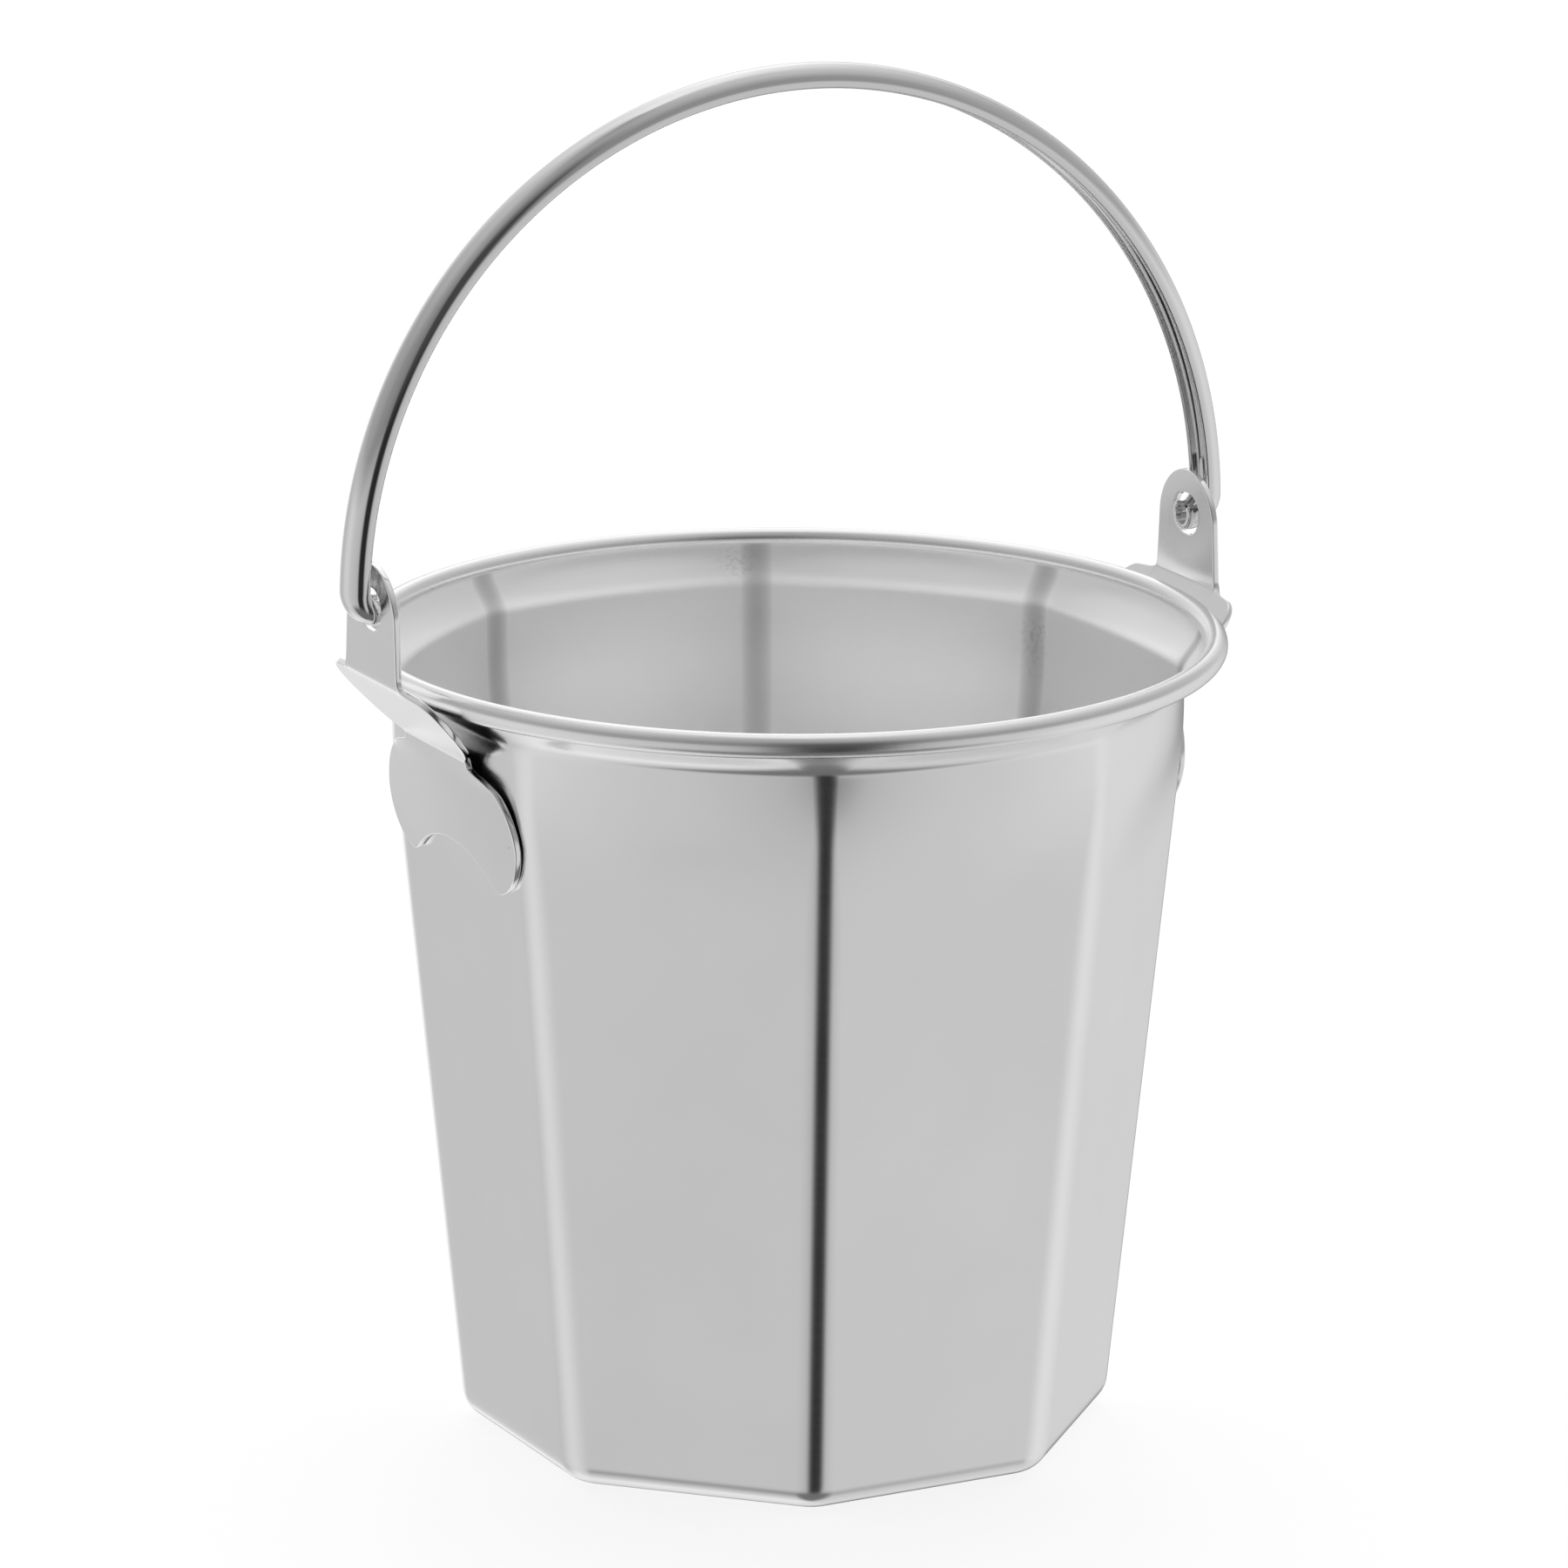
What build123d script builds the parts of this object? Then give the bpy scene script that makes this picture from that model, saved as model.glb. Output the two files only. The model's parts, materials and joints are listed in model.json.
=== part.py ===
from build123d import *
import math
import os

# Stainless milk pail: an eight-sided tapering body with a rolled rim, two welded ears and a
# channel-section bail that swings in them. Millimetres. The origin is the centre of the base,
# +Z is up, and the ears stand on the facets that face -X and +X.

# --- body ---
sides = 8
body_sheet = 1.0
base_apothem = 89.5            # facet distance from the axis, extended down to the base plane
facet_flare = 0.092            # growth of that distance per mm of height
corner_radius = 15.0           # plan radius of the eight upright corners
base_edge_radius = 9.0         # outside radius between floor and wall

# --- neck: the facets swell and the wall turns from an octagon into the rim's circle ---
crown_start = 176.0            # the facets are flat below this height
crown_span = 50.0
facet_crown = 0.66             # how round a facet becomes: 0 is flat, 1 is the full circle
ear_facet_crown = 0.38         # the two facets that carry the ears stay flatter
upright_start = 201.0          # the corners come upright over this span
upright_span = 13.0
easing_start = 203.0           # the corner radius grows over this span
easing_span = 30.0
easing_growth = 11.0
flare_start = 225.0            # from here the wall flares out to the rim
neck_sections = 6              # steps of each of the neck's two lofts

# --- rolled rim ---
rim_radius = 128.0             # outside radius of the pail at its bead
bead_radius = 3.55             # outside radius of the curl
bead_height = 237.1            # height of the curl's centre
curl_sweep = 302.0             # degrees; the sheet's edge stops just short of the wall

# --- ears ---
ear_sheet = 2.0
tab_face_x = 132.95            # pail side of the upright tab
upper_bend_height = 241.0      # tab meets shelf, on the pail side
lower_bend = (113.0, 218.5)    # shelf meets mounting plate, on the pail side, as (X, Z)
plate_slope = 0.17             # outward lean of the mounting plate per mm of height
wrap_foot = (179.6, 1600.0)    # the plate wraps round the facet: its plan radius at two heights
wrap_top = (216.0, 340.0)
inside_bend_radius = 1.2
tab_top = 274.0
tab_half_width = 16.0
tab_foot = (17.2, 240.2)       # the outline's points are (Y, Z)
shoulder_end = (25.5, 239.4)
shoulder_middle = (31.0, 236.8)
shelf_widest = (32.8, 232.6)
shelf_side_middle = (29.8, 225.2)
shelf_foot = (20.6, 218.8)
neck_corner = (20.0, 216.0)
lobe_start = (25.0, 214.6)
lobe_shoulder = (37.4, 207.6)
lobe_side = (42.2, 195.8)
lobe_lower = (37.0, 184.2)
arch_end = (27.2, 179.6)
arch_top = 190.0
foot_fillet = 3.0
neck_fillet = 1.2
hole_length = 14.4             # hinge hole, along Y
hole_height = 12.4

# --- bail ---
hinge_height = 260.7
bail_radius = 138.4            # centreline of the bow
bail_centre_height = 263.3
bail_sheet = 1.6
channel_radius = 5.6           # outside radius of the channel section
channel_half_angle = 105.0     # from the crown to each lip
hook_bend_radius = 5.4         # centreline
hook_end_radius = 4.8          # the section is rolled narrower towards its end
hook_end_half_angle = 140.0
hook_end_x = 131.4             # the hooks stop just inside the tabs

half_side = math.pi / sides
root_radius = rim_radius - 2 * bead_radius + body_sheet    # outside of the wall at the curl

os.makedirs("parts", exist_ok=True)


def smooth_step(height, start, span):
    """0 up to start, 1 from start + span on, and smooth between them."""
    fraction = min(max((height - start) / span, 0), 1)
    return fraction * fraction * (3 - 2 * fraction)


def corner_distance(height):
    """Distance from the axis to the outside of a corner, leaving out the flare."""
    past = min(max(height - upright_start, 0), upright_span)
    leaning = min(height, upright_start) + past - past * past / (2 * upright_span)
    apothem = base_apothem + facet_flare * leaning
    return (apothem - corner_radius) / math.cos(half_side) + corner_radius


def facet_arc(height, crown, small_radius):
    """Half angle of a facet's arc, and the distance to its middle, leaving out the flare."""
    reach = corner_distance(height) - small_radius
    along, across = reach * math.cos(half_side), reach * math.sin(half_side)
    if crown == 0:
        return 0, along + small_radius
    radius = corner_distance(upright_start + upright_span) / crown
    back = math.sqrt((radius - small_radius) ** 2 - across**2)
    return math.degrees(math.atan2(across, back)), along - back + radius


def body_section(height, inset):
    """The wall's plan at a height, drawn in by inset: eight corner arcs joined by facets."""
    flare = smooth_step(height, flare_start, bead_height - flare_start)
    swelling = smooth_step(height, crown_start, crown_span)
    small_radius = corner_radius + easing_growth * smooth_step(height, easing_start, easing_span)
    facets = []
    for side in range(sides):
        crown = ear_facet_crown if side % (sides // 2) == 0 else facet_crown
        facets.append(facet_arc(height, crown * swelling, small_radius))
    reach = (1 - flare) * (corner_distance(height) - small_radius)
    radius = (1 - flare) * small_radius + flare * root_radius - inset
    with BuildSketch(Plane.XY.offset(height)) as section:
        with BuildLine():
            corners = []
            for side in range(sides):
                turn = 360 / sides * side
                centre = Vector(reach, 0).rotate(Axis.Z, turn + 180 / sides)
                start = turn + facets[side][0]
                end = turn + 360 / sides - facets[(side + 1) % sides][0]
                corners.append(CenterArc(centre, radius, start, end - start))
            for side, (_, distance) in enumerate(facets):
                first, last = corners[side - 1] @ 1, corners[side] @ 0
                if swelling == 0:
                    Line(first, last)
                else:
                    out = (1 - flare) * distance + flare * root_radius - inset
                    ThreePointArc(first, Vector(out, 0).rotate(Axis.Z, 360 / sides * side), last)
        make_face()
    return section.sketch.face()


def body_volume(inset, floor_height):
    """The body's outer shape, drawn in by inset, from floor_height up to the rim's curl."""
    faceted = [body_section(height, inset) for height in (floor_height, crown_start)]
    loft(faceted, ruled=True)
    for start, end in ((crown_start, flare_start), (flare_start, bead_height)):
        step = (end - start) / neck_sections
        heights = [start + step * index for index in range(neck_sections + 1)]
        loft([body_section(height, inset) for height in heights])
    floor_edges = faces().sort_by(Axis.Z)[0].edges()
    fillet(floor_edges, radius=base_edge_radius - inset)


def channel_section(plane, outer_radius, half_angle):
    """C-shaped sheet section, its crown towards the plane's +Y."""
    with BuildSketch(plane) as section:
        with BuildLine():
            outer = CenterArc((0, 0), outer_radius, 90 - half_angle, 2 * half_angle)
            inner = CenterArc((0, 0), outer_radius - bail_sheet, 90 - half_angle, 2 * half_angle)
            Line(outer @ 0, inner @ 0)
            Line(outer @ 1, inner @ 1)
        make_face()
    return section.sketch.face()


# ---------------------------------------------------------------- pail body
with BuildPart() as cavity:
    body_volume(body_sheet, body_sheet)

with BuildPart() as pail_body:
    body_volume(0, 0)
    add(cavity.part, mode=Mode.SUBTRACT)
    bead_centre = (rim_radius - bead_radius, bead_height)
    with BuildSketch(Plane.XZ):
        # the sheet curls from the wall over the top, outwards and back under
        with BuildLine():
            skin = CenterArc(bead_centre, bead_radius, 180, -curl_sweep)
            lining = CenterArc(bead_centre, bead_radius - body_sheet, 180, -curl_sweep)
            Line(skin @ 0, lining @ 0)
            Line(skin @ 1, lining @ 1)
        make_face()
    revolve(axis=Axis.Z)

pail_body.part.label = "pail_body"
export_step(pail_body.part, "parts/pail_body.step")

# ---------------------------------------------------------------- ears
outside_bend_radius = inside_bend_radius + ear_sheet
tab_shoulder = (tab_half_width, tab_top - tab_half_width)


def plate_x(height):
    """Pail side of the mounting plate, at its middle."""
    return lower_bend[0] - plate_slope * (lower_bend[1] - height)


def plate_section(height, wrap_radius):
    """The mounting plate's plan at a height: a thin curved band."""
    with BuildSketch(Plane.XY.offset(height)) as section:
        with BuildLine():
            width = lobe_side[0] + ear_sheet
            drop = wrap_radius - math.sqrt(wrap_radius**2 - width**2)
            middle = plate_x(height)
            ends = [(middle - drop, -width), (middle - drop, width)]
            pail_side = ThreePointArc(ends[0], (middle, 0), ends[1])
            thick = ear_sheet / math.cos(math.atan(plate_slope))
            face_side = ThreePointArc(
                (middle - drop + thick, -width), (middle + thick, 0), (middle - drop + thick, width)
            )
            Line(pail_side @ 0, face_side @ 0)
            Line(pail_side @ 1, face_side @ 1)
        make_face()
    return section.sketch.face()


with BuildPart() as right_ear:
    loft([plate_section(*wrap_foot), plate_section(*wrap_top)], ruled=True)
    # side view of the bent sheet: end of the plate, shelf out past the bead, upright tab
    with BuildSketch(Plane.XZ):
        with BuildLine():
            FilletPolyline(
                (plate_x(wrap_top[0]), wrap_top[0]),
                lower_bend,
                (tab_face_x, upper_bend_height),
                (tab_face_x, tab_top + ear_sheet),
                radius=(outside_bend_radius, inside_bend_radius),
            )
            offset(amount=ear_sheet, side=Side.RIGHT)
        make_face()
    extrude(amount=lobe_side[0] + ear_sheet, both=True)
    # front view: one half of the outline, mirrored, and the hinge hole
    with BuildSketch(Plane.YZ) as outline:
        with BuildLine():
            ThreePointArc((-tab_half_width, tab_shoulder[1]), (0, tab_top), tab_shoulder)
            ThreePointArc(arch_end, (0, arch_top), (-arch_end[0], arch_end[1]))
            with BuildLine(mode=Mode.PRIVATE) as half:
                Line(tab_shoulder, tab_foot)
                Line(tab_foot, shoulder_end)
                ThreePointArc(shoulder_end, shoulder_middle, shelf_widest)
                ThreePointArc(shelf_widest, shelf_side_middle, shelf_foot)
                Polyline(shelf_foot, neck_corner, lobe_start)
                ThreePointArc(lobe_start, lobe_shoulder, lobe_side)
                ThreePointArc(lobe_side, lobe_lower, arch_end)
            add(half.line)
            mirror(half.line, about=Plane.YZ)
        make_face()
        for side in (-1, 1):
            foot = outline.vertices().sort_by_distance((side * tab_foot[0], tab_foot[1]))[0]
            fillet(foot, radius=foot_fillet)
            corner = outline.vertices().sort_by_distance((side * neck_corner[0], neck_corner[1]))[0]
            fillet(corner, radius=neck_fillet)
        with Locations((0, hinge_height)):
            SlotOverall(hole_length, hole_height, mode=Mode.SUBTRACT)
    extrude(amount=rim_radius + 2 * bead_radius, mode=Mode.INTERSECT)

right_ear.part.label = "right_ear"
export_step(right_ear.part, "parts/right_ear.step")

with BuildPart() as left_ear:
    mirror(right_ear.part, about=Plane.YZ)

left_ear.part.label = "left_ear"
export_step(left_ear.part, "parts/left_ear.step")

# ---------------------------------------------------------------- bail
# The hook's bend is tangent to the level hinge line and, from inside, to the bow.
hook_centre_z = hinge_height + hook_bend_radius
hook_centre_rise = hook_centre_z - bail_centre_height
hook_centre_x = math.sqrt((bail_radius - hook_bend_radius) ** 2 - hook_centre_rise**2)
join_angle = math.degrees(math.atan2(hook_centre_rise, hook_centre_x))

with BuildPart() as bail:
    with BuildLine(Plane.XZ) as bow:
        CenterArc((0, bail_centre_height), bail_radius, join_angle, 180 - 2 * join_angle)
    bow_start = Plane(bow.line @ 0, x_dir=(0, -1, 0), z_dir=bow.line % 0)
    channel = channel_section(bow_start, channel_radius, channel_half_angle)
    sweep(channel, path=bow.line)
    with BuildLine(Plane.XZ) as bend:
        CenterArc((hook_centre_x, hook_centre_z), hook_bend_radius, join_angle, -90 - join_angle)
    bend_start = Plane(bend.line @ 0, x_dir=(0, 1, 0), z_dir=bend.line % 0)
    bend_end = Plane(bend.line @ 1, x_dir=(0, 1, 0), z_dir=bend.line % 1)
    hook_end = channel_section(bend_end, hook_end_radius, hook_end_half_angle)
    bend_sections = [channel_section(bend_start, channel_radius, channel_half_angle), hook_end]
    sweep(bend_sections, path=bend.line, multisection=True)
    extrude(hook_end, amount=hook_centre_x - hook_end_x)
    mirror(bail.part, about=Plane.YZ)

bail.part.label = "bail"
export_step(bail.part, "parts/bail.step")
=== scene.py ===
import json
import math

import bmesh
import bpy
import numpy as np
from mathutils import Matrix, Vector
from mathutils.geometry import delaunay_2d_cdt


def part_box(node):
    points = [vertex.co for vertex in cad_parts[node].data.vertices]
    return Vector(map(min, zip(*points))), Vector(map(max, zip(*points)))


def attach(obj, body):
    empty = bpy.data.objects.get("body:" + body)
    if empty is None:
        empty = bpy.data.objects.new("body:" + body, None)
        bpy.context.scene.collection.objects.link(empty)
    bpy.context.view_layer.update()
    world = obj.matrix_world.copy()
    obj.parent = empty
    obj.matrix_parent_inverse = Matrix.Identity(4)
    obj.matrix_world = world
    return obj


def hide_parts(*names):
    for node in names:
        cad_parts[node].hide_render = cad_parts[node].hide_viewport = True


# Stainless milk pail: an eight-sided tapering body with a rolled rim, two bent sheet ears and a
# channel-section bail. Metres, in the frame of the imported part. Each of the four CAD parts is
# replaced by a dense smooth mesh of the same shape, with rounded sheet edges.

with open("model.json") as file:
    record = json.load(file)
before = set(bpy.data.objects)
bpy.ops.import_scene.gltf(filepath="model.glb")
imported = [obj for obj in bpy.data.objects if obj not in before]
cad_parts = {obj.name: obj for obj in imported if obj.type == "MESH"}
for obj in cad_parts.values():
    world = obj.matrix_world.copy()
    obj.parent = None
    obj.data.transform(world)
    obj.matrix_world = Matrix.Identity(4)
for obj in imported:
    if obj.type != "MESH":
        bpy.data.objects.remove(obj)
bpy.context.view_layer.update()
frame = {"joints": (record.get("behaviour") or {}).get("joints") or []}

MM = 0.001
body_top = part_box("pail_body")[1]
ear_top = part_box("right_ear")[1]
bail_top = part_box("bail")[1]
hinge_height = frame["joints"][0]["pos_m"][2]

# --- body ---
SIDES = 8
SIDE_ANGLE = 2 * math.pi / SIDES
BODY_SHEET = 1.0 * MM
BASE_APOTHEM = 89.5 * MM          # facet distance from the axis, extended down to the base plane
FACET_FLARE = 0.092               # growth of that distance with height
CORNER_RADIUS = 15.0 * MM
BASE_EDGE_RADIUS = 9.0 * MM

# --- neck: the facets swell and the wall turns from an octagon into the rim's circle ---
CROWN_START = 176.0 * MM          # the facets are flat below this height
CROWN_SPAN = 50.0 * MM
FACET_CROWN = 0.66                # how round a facet becomes: 0 is flat, 1 is the full circle
EAR_FACET_CROWN = 0.38            # the two facets that carry the ears stay flatter
UPRIGHT_START = 201.0 * MM        # the corners come upright over this span
UPRIGHT_SPAN = 13.0 * MM
EASING_START = 203.0 * MM         # the corner radius grows over this span
EASING_SPAN = 30.0 * MM
EASING_GROWTH = 11.0 * MM
FLARE_START = 225.0 * MM          # from here the wall flares out to the rim

# --- rolled rim ---
RIM_RADIUS = body_top.x
BEAD_RADIUS = 3.55 * MM
BEAD_HEIGHT = body_top.z - BEAD_RADIUS
ROOT_RADIUS = RIM_RADIUS - 2 * BEAD_RADIUS + BODY_SHEET    # outside of the wall at the curl
CURL_SWEEP = math.radians(302)

# --- ears ---
EAR_SHEET = 2.0 * MM
EAR_EDGE_RADIUS = 0.45 * MM
TAB_FACE_X = ear_top.x - EAR_SHEET
TAB_TOP = ear_top.z
UPPER_BEND_HEIGHT = 241.0 * MM
LOWER_BEND = (113.0 * MM, 218.5 * MM)
PLATE_SLOPE = 0.17
WRAP_FOOT = (179.6 * MM, 1600.0 * MM)    # the plate's plan radius at two heights
WRAP_TOP = (216.0 * MM, 340.0 * MM)
WRAP_FADE = 6.0 * MM                     # it is straight again where the lower bend starts
INSIDE_BEND_RADIUS = 1.2 * MM
TAB_HALF_WIDTH = 16.0 * MM
HOLE_LENGTH = 14.4 * MM
HOLE_HEIGHT = 12.4 * MM

# --- bail ---
BAIL_SHEET = 1.6 * MM
CHANNEL_RADIUS = 5.6 * MM
CHANNEL_HALF_ANGLE = math.radians(105)
BAIL_RADIUS = bail_top.x - CHANNEL_RADIUS
BAIL_CENTRE_HEIGHT = bail_top.z - bail_top.x
HOOK_BEND_RADIUS = 5.4 * MM
HOOK_END_RADIUS = 4.8 * MM
HOOK_END_HALF_ANGLE = math.radians(140)
HOOK_END_X = 131.4 * MM

# --- camera: where the photographer stood ---
CAMERA_AIM = Vector((-1.3, 0.7, 192.9)) * MM
CAMERA_AZIMUTH = math.radians(-27.51)
CAMERA_ELEVATION = math.radians(15.0)
CAMERA_ROLL = math.radians(0.292)
CAMERA_DISTANCE = 2.6386
CAMERA_LENS = 206.36
CAMERA_SENSOR = 36.0

# --- studio ---
STUDIO_LEVEL = 0.815
FILL_RADIUS = 104.0 * MM          # disk light over the mouth
FILL_GAP = 2.5 * MM               # its height over the rim
FILL_LEVEL = 0.40
FLOOR_HALF_WIDTH = 6.0
FLOOR_HEIGHT = -0.2 * MM          # just under the pail, so that the two never coincide
FLOOR_TONE = 0.5
FLOOR_GLOW = 0.75


# ------------------------------------------------------------------ mesh helpers
def make_object(name, points, faces):
    mesh = bpy.data.meshes.new(name)
    mesh.from_pydata([tuple(point) for point in points], [], faces)
    mesh.validate()
    mesh.shade_smooth()
    piece = bpy.data.objects.new(name, mesh)
    bpy.context.scene.collection.objects.link(piece)
    return piece


def mark_points(piece, name, values):
    """A number on each point of the mesh, for its material to read."""
    layer = piece.data.attributes.new(name, "FLOAT", "POINT")
    layer.data.foreach_set("value", values)


def smooth_step(value, start, span):
    """0 up to start, 1 from start + span on, and smooth between them."""
    fraction = min(max((value - start) / span, 0), 1)
    return fraction * fraction * (3 - 2 * fraction)


def spread(first, last, count):
    """count evenly spaced values, both ends included."""
    return [first + (last - first) * i / (count - 1) for i in range(count)]


def grid_faces(rows, columns):
    """Quads between successive rows of a grid whose columns close round."""
    faces = []
    for row in range(rows - 1):
        for column in range(columns):
            beside = (column + 1) % columns
            here = row * columns
            above = here + columns
            faces.append((here + column, here + beside, above + beside, above + column))
    return faces


def fan_faces(ring_start, columns, centre, upwards):
    """Triangles from a ring to the point in its middle."""
    faces = []
    for column in range(columns):
        pair = (ring_start + column, ring_start + (column + 1) % columns)
        faces.append((centre, *(pair if upwards else reversed(pair))))
    return faces


# ------------------------------------------------------------------ body
WALL_TILT = math.atan(FACET_FLARE)
HALF_SIDE = math.pi / SIDES
FACET_STEPS = 18
CORNER_STEPS = 26


def corner_distance(height):
    """Distance from the axis to the outside of a corner, leaving out the flare."""
    past = min(max(height - UPRIGHT_START, 0), UPRIGHT_SPAN)
    leaning = min(height, UPRIGHT_START) + past - past * past / (2 * UPRIGHT_SPAN)
    apothem = BASE_APOTHEM + FACET_FLARE * leaning
    return (apothem - CORNER_RADIUS) / math.cos(HALF_SIDE) + CORNER_RADIUS


def small_corner_radius(height):
    return CORNER_RADIUS + EASING_GROWTH * smooth_step(height, EASING_START, EASING_SPAN)


def facet_half_angles(height):
    """How far each facet's arc turns either side of its middle; 0 where it is flat."""
    swelling = smooth_step(height, CROWN_START, CROWN_SPAN)
    small_radius = small_corner_radius(height)
    across = (corner_distance(height) - small_radius) * math.sin(HALF_SIDE)
    angles = []
    for side in range(SIDES):
        crown = EAR_FACET_CROWN if side % (SIDES // 2) == 0 else FACET_CROWN
        if swelling == 0:
            angles.append(0)
        else:
            radius = corner_distance(UPRIGHT_START + UPRIGHT_SPAN) / (crown * swelling)
            angles.append(math.asin(across / (radius - small_radius)))
    return angles


def plan_ring(reach, radius, half_angles):
    """One turn of the wall seen from above: corner arcs, their centres at reach, and facets."""
    end_x, end_y = reach * math.cos(HALF_SIDE), reach * math.sin(HALF_SIDE)
    ring = []
    for side, half_angle in enumerate(half_angles):
        facet = side * SIDE_ANGLE
        after = half_angles[(side + 1) % SIDES]
        half_width = end_y + radius * math.sin(half_angle)
        for step in range(FACET_STEPS):
            part = 2 * step / FACET_STEPS - 1
            x, y = end_x + radius * math.cos(half_angle), half_width * part
            if half_angle > 0:
                facet_radius = half_width / math.sin(half_angle)
                y = facet_radius * math.sin(half_angle * part)
                x += facet_radius * (math.cos(half_angle * part) - math.cos(half_angle))
            ring.append(turned(x, y, facet))
        for step in range(CORNER_STEPS):
            turn = half_angle + step / CORNER_STEPS * (SIDE_ANGLE - half_angle - after)
            x, y = end_x + radius * math.cos(turn), end_y + radius * math.sin(turn)
            ring.append(turned(x, y, facet))
    return ring


def turned(x, y, angle):
    return (
        x * math.cos(angle) - y * math.sin(angle),
        x * math.sin(angle) + y * math.cos(angle),
    )


def wall_row(height, inset):
    """The wall's plan at a height, drawn in by inset, flare and all."""
    flare = smooth_step(height, FLARE_START, BEAD_HEIGHT - FLARE_START)
    small_radius = small_corner_radius(height)
    reach = (1 - flare) * (corner_distance(height) - small_radius)
    radius = (1 - flare) * small_radius + flare * ROOT_RADIUS - inset
    return [(x, y, height) for x, y in plan_ring(reach, radius, facet_half_angles(height))]


def flat_row(facet_distance, radius, height):
    """A plan with flat facets, for the floor and the rounded base edge."""
    reach = (facet_distance - radius) / math.cos(HALF_SIDE)
    return [(x, y, height) for x, y in plan_ring(reach, radius, [0] * SIDES)]


def skin_rows(inset):
    """Rows of one face of the sheet, from the middle of the floor up to the curl."""
    rows = []
    edge_radius = BASE_EDGE_RADIUS - inset
    edge_height = BASE_EDGE_RADIUS
    facet_at_edge = BASE_APOTHEM + FACET_FLARE * edge_height - inset
    edge_centre = facet_at_edge - edge_radius / math.cos(WALL_TILT)
    edge_corner = CORNER_RADIUS - inset - edge_radius / math.cos(WALL_TILT)
    for part in spread(0.04, 0.97, 12):
        rows.append(flat_row(edge_centre * part, edge_corner * part, inset))
    for turn in spread(math.pi / 2, WALL_TILT, 14):
        reach = edge_radius * math.cos(turn)
        height = edge_height - edge_radius * math.sin(turn)
        rows.append(flat_row(edge_centre + reach, edge_corner + reach, height))
    wall_foot = edge_height - edge_radius * math.sin(WALL_TILT)
    for height in spread(wall_foot, CROWN_START, 50)[1:]:
        rows.append(wall_row(height, inset))
    for height in spread(CROWN_START, BEAD_HEIGHT, 80)[1:-1]:
        rows.append(wall_row(height, inset))
    return rows


RIM_HALF_ANGLES = facet_half_angles(BEAD_HEIGHT)


def round_row(radius, height):
    return [(x, y, height) for x, y in plan_ring(0, radius, RIM_HALF_ANGLES)]


def curl_rows(curl_radius, sweep, steps):
    """Part of a turn of the rolled rim, from the wall over the top and down outside."""
    rows = []
    for turn in spread(math.pi, math.pi - sweep, steps):
        radius = RIM_RADIUS - BEAD_RADIUS + curl_radius * math.cos(turn)
        rows.append(round_row(radius, BEAD_HEIGHT + curl_radius * math.sin(turn)))
    return rows


def sheet_edge_rows(middle_radius, sweep):
    """The rounded cut edge at the end of the curl."""
    end = math.pi - sweep
    rows = []
    for turn in spread(0, math.pi, 9)[1:-1]:
        radius = middle_radius - BODY_SHEET / 2 * math.cos(turn)
        bulge = BODY_SHEET / 2 * math.sin(turn) / middle_radius
        x = RIM_RADIUS - BEAD_RADIUS + radius * math.cos(end - bulge)
        rows.append(round_row(x, BEAD_HEIGHT + radius * math.sin(end - bulge)))
    return rows


def make_body():
    """Floor, wall and curl as one closed sheet, outside first and then back down the inside."""
    lining_radius = BEAD_RADIUS - BODY_SHEET
    middle_radius = BEAD_RADIUS - BODY_SHEET / 2
    sweep = CURL_SWEEP - BODY_SHEET / 2 / middle_radius
    rows = skin_rows(0)
    rows += curl_rows(lining_radius, sweep, 60)
    rows += sheet_edge_rows(middle_radius, sweep)
    rows += curl_rows(BEAD_RADIUS, sweep, 80)[::-1]
    inside = skin_rows(BODY_SHEET)
    rows += inside[::-1]
    columns = len(rows[0])
    points = [point for row in rows for point in row]
    faces = grid_faces(len(rows), columns)
    points += [(0, 0, 0), (0, 0, BODY_SHEET)]
    faces += fan_faces(0, columns, len(points) - 2, upwards=False)
    faces += fan_faces((len(rows) - 1) * columns, columns, len(points) - 1, upwards=True)
    body = make_object("steel_body", points, faces)
    outer = (len(rows) - len(inside)) * columns
    mark_points(body, "inside", [0.0] * outer + [1.0] * len(inside) * columns + [0.0, 1.0])
    bead_bottom = BEAD_HEIGHT - BEAD_RADIUS
    mark_points(body, "bead", [float(point[2] > bead_bottom) for point in points])
    return body


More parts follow.
